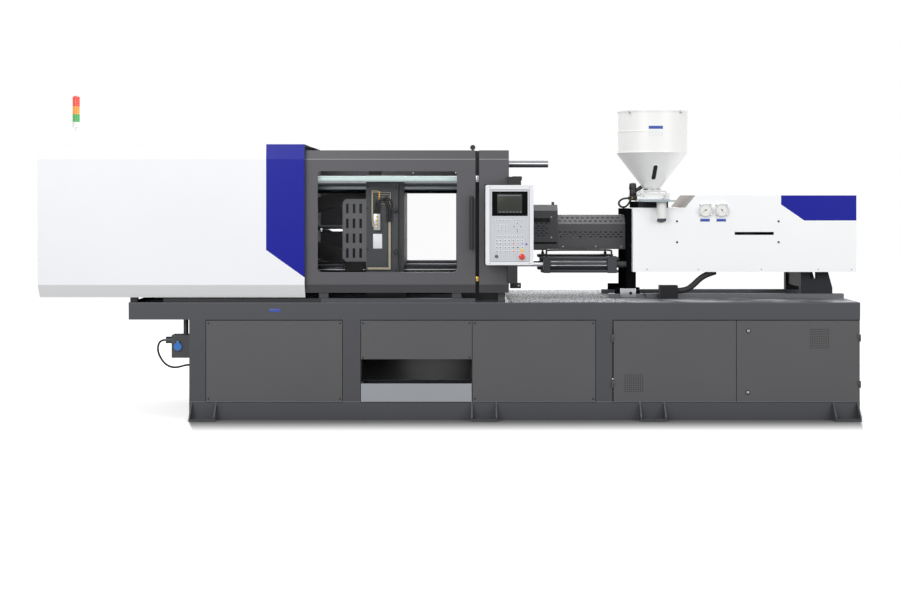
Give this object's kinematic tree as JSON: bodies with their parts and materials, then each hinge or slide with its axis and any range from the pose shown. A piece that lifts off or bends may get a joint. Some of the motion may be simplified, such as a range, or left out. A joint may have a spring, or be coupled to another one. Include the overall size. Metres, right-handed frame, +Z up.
{
  "type": "injection moulding machine",
  "caption": "Horizontal injection moulding machine with a toggle clamp, sliding safety doors, control panel and hopper.",
  "frame": {"origin": "on the floor, below the middle of the machine's length and of its frame's width", "axes": "+X from the clamp towards the injection end, +Y away from the operator, +Z up"},
  "size_m": [7.05, 1.855, 2.777],
  "materials": {
    "frame_paint": "satin",
    "panel_paint": "fine texture",
    "galvanised": "satin",
    "bed_paint": "satin",
    "deck_steel": "tread plate",
    "platen_iron": "painted casting",
    "chromed": "ground",
    "bright_steel": "machined",
    "door_paint": "satin",
    "hose_rubber": "matte",
    "lamp_tube": "frosted",
    "black_plastic": "matte",
    "white_paint": "satin",
    "white_plastic": "satin",
    "lens_plastic": "clear tint",
    "blue_plastic": "gloss",
    "light_plastic": "fine texture",
    "screen_glass": "gloss",
    "red_plastic": "gloss",
    "cream_paint": "gloss",
    "clear_pane": "tinted"
  },
  "bodies": {
    "machine": {"base_frame": "frame_paint", "side_panels": "panel_paint", "cabinet_gear": "galvanised", "hydraulic_unit": "panel_paint", "bed": "bed_paint", "deck_plates": "deck_steel", "fixed_platen": "platen_iron", "tail_platen": "platen_iron", "tie_bars": "chromed", "clamp_cylinder": "platen_iron", "guard_frame": "frame_paint", "work_lamp": "lamp_tube", "clamp_covers": "white_paint", "platen_guard": "door_paint", "signal_post": "white_plastic", "signal_lenses": "lens_plastic", "service_box": "panel_paint", "service_cable": "hose_rubber", "panel_arm": "frame_paint", "injection_rails": "bright_steel", "carriage_rods": "chromed", "energy_chain": "hose_rubber"},
    "tray": {"scrap_tray": "galvanised"},
    "left_cabinet_door": {"cabinet_door_left": "panel_paint"},
    "right_cabinet_door": {"cabinet_door_right": "panel_paint"},
    "socket_lid": {"service_lid": "blue_plastic"},
    "platen": {"moving_platen": "platen_iron", "platen_side_plate": "door_paint", "platen_hoses": "hose_rubber", "safety_rod": "chromed"},
    "ejector_plate": {"ejector": "bright_steel"},
    "toggle_crosshead": {"crosshead": "bright_steel"},
    "upper_rear_link": {"rear_link_upper": "platen_iron"},
    "lower_rear_link": {"rear_link_lower": "platen_iron"},
    "upper_front_link": {"front_link_upper": "platen_iron"},
    "lower_front_link": {"front_link_lower": "platen_iron"},
    "upper_drive_link": {"drive_link_upper": "platen_iron"},
    "lower_drive_link": {"drive_link_lower": "platen_iron"},
    "front_sliding_door": {"operator_door": "door_paint", "operator_door_pane": "clear_pane", "door_handle": "black_plastic"},
    "rear_sliding_door": {"rear_door": "door_paint", "rear_door_pane": "clear_pane"},
    "panel": {"control_panel": "light_plastic", "panel_screen": "screen_glass"},
    "emergency_button": {"stop_button": "red_plastic"},
    "carriage": {"injection_carriage": "frame_paint", "barrel": "bright_steel", "heater_bands": "galvanised", "barrel_cover": "door_paint", "carriage_cylinders": "platen_iron", "injection_cover": "white_paint", "hopper_slide_plate": "bright_steel", "pressure_gauges": "chromed"},
    "screw_drive": {"thrust_plate": "platen_iron"},
    "screw_body": {"screw": "bright_steel"},
    "nozzle_guard": {"purge_guard": "door_paint"},
    "hopper_slider": {"hopper_base": "cream_paint", "hopper": "cream_paint"},
    "lid": {"hopper_lid": "cream_paint"}
  },
  "joints": [
    {"name": "clamp_stroke", "type": "slide", "parent": "machine", "child": "platen", "axis": [1, 0, 0], "range_m": [-0.25, 0.11]},
    {"name": "ejector_stroke", "type": "slide", "parent": "platen", "child": "ejector_plate", "axis": [1, 0, 0], "range_m": [0, 0.055]},
    {"name": "crosshead_stroke", "type": "slide", "parent": "machine", "child": "toggle_crosshead", "axis": [1, 0, 0], "range_m": [-0.1635, 0.0725]},
    {"name": "upper_rear_pin", "type": "hinge", "parent": "machine", "child": "upper_rear_link", "pos_m": [-1.50145, 0, 2.023], "axis": [0, 1, 0], "range_deg": [-16.6, 37.5]},
    {"name": "lower_rear_pin", "type": "hinge", "parent": "machine", "child": "lower_rear_link", "pos_m": [-1.50145, 0, 1.213], "axis": [0, 1, 0], "range_deg": [-37.5, 16.6]},
    {"name": "upper_front_pin", "type": "hinge", "parent": "platen", "child": "upper_front_link", "pos_m": [-0.849, 0, 1.938], "axis": [0, 1, 0], "range_deg": [-10.9, 4.9]},
    {"name": "lower_front_pin", "type": "hinge", "parent": "platen", "child": "lower_front_link", "pos_m": [-0.849, 0, 1.298], "axis": [0, 1, 0], "range_deg": [-4.9, 10.9]},
    {"name": "upper_drive_pin", "type": "hinge", "parent": "toggle_crosshead", "child": "upper_drive_link", "pos_m": [-1.67293, 0, 1.703], "axis": [0, 1, 0], "range_deg": [-3.9, 8.8]},
    {"name": "lower_drive_pin", "type": "hinge", "parent": "toggle_crosshead", "child": "lower_drive_link", "pos_m": [-1.67293, 0, 1.533], "axis": [0, 1, 0], "range_deg": [-8.8, 3.9]},
    {"name": "front_door_slide", "type": "slide", "parent": "machine", "child": "front_sliding_door", "axis": [1, 0, 0], "range_m": [-1.1, 0]},
    {"name": "rear_door_slide", "type": "slide", "parent": "machine", "child": "rear_sliding_door", "axis": [1, 0, 0], "range_m": [-1.1, 0]},
    {"name": "tray_pull", "type": "slide", "parent": "machine", "child": "tray", "axis": [0, 1, 0], "range_m": [-0.45, 0]},
    {"name": "left_cabinet_hinge", "type": "hinge", "parent": "machine", "child": "left_cabinet_door", "pos_m": [1.357, -0.795, 0.5], "axis": [0, 0, 1], "range_deg": [-110, 0]},
    {"name": "right_cabinet_hinge", "type": "hinge", "parent": "machine", "child": "right_cabinet_door", "pos_m": [3.461, -0.795, 0.5], "axis": [0, 0, 1], "range_deg": [0, 110]},
    {"name": "socket_lid_hinge", "type": "hinge", "parent": "machine", "child": "socket_lid", "pos_m": [-2.359, -0.676, 0.654], "axis": [1, 0, 0], "range_deg": [-100, 0]},
    {"name": "panel_swivel", "type": "hinge", "parent": "machine", "child": "panel", "pos_m": [0.519, -0.895, 1.6], "axis": [0, 0, 1], "range_deg": [-16, 25]},
    {"name": "emergency_press", "type": "slide", "parent": "panel", "child": "emergency_button", "axis": [0, 1, 0], "range_m": [0, 0.006], "stiffness_N_per_m": 800},
    {"name": "carriage_stroke", "type": "slide", "parent": "machine", "child": "carriage", "axis": [1, 0, 0], "range_m": [0, 0.3]},
    {"name": "injection_stroke", "type": "slide", "parent": "carriage", "child": "screw_drive", "axis": [1, 0, 0], "range_m": [0, 0.25]},
    {"name": "screw_turn", "type": "hinge", "parent": "screw_drive", "child": "screw_body", "pos_m": [2, 0, 1.618], "axis": [1, 0, 0], "continuous": true},
    {"name": "nozzle_guard_hinge", "type": "hinge", "parent": "machine", "child": "nozzle_guard", "pos_m": [0.65, 0.224, 1.433], "axis": [1, 0, 0], "range_deg": [-45, 0]},
    {"name": "hopper_shift", "type": "slide", "parent": "carriage", "child": "hopper_slider", "axis": [0, 1, 0], "range_m": [-0.48, 0]},
    {"name": "hopper_lid_lift", "type": "slide", "parent": "hopper_slider", "child": "lid", "axis": [0, 0, 1], "range_m": [0, 0.3]}
  ],
  "couplings": [
    {"joint": "crosshead_stroke", "follows": "clamp_stroke", "ratio": 0.65},
    {"joint": "upper_rear_pin", "follows": "clamp_stroke", "rad_per_m": -2.6},
    {"joint": "lower_rear_pin", "follows": "clamp_stroke", "rad_per_m": 2.6},
    {"joint": "upper_front_pin", "follows": "clamp_stroke", "rad_per_m": 0.75},
    {"joint": "lower_front_pin", "follows": "clamp_stroke", "rad_per_m": -0.75},
    {"joint": "upper_drive_pin", "follows": "clamp_stroke", "rad_per_m": -0.6},
    {"joint": "lower_drive_pin", "follows": "clamp_stroke", "rad_per_m": 0.6}
  ]
}
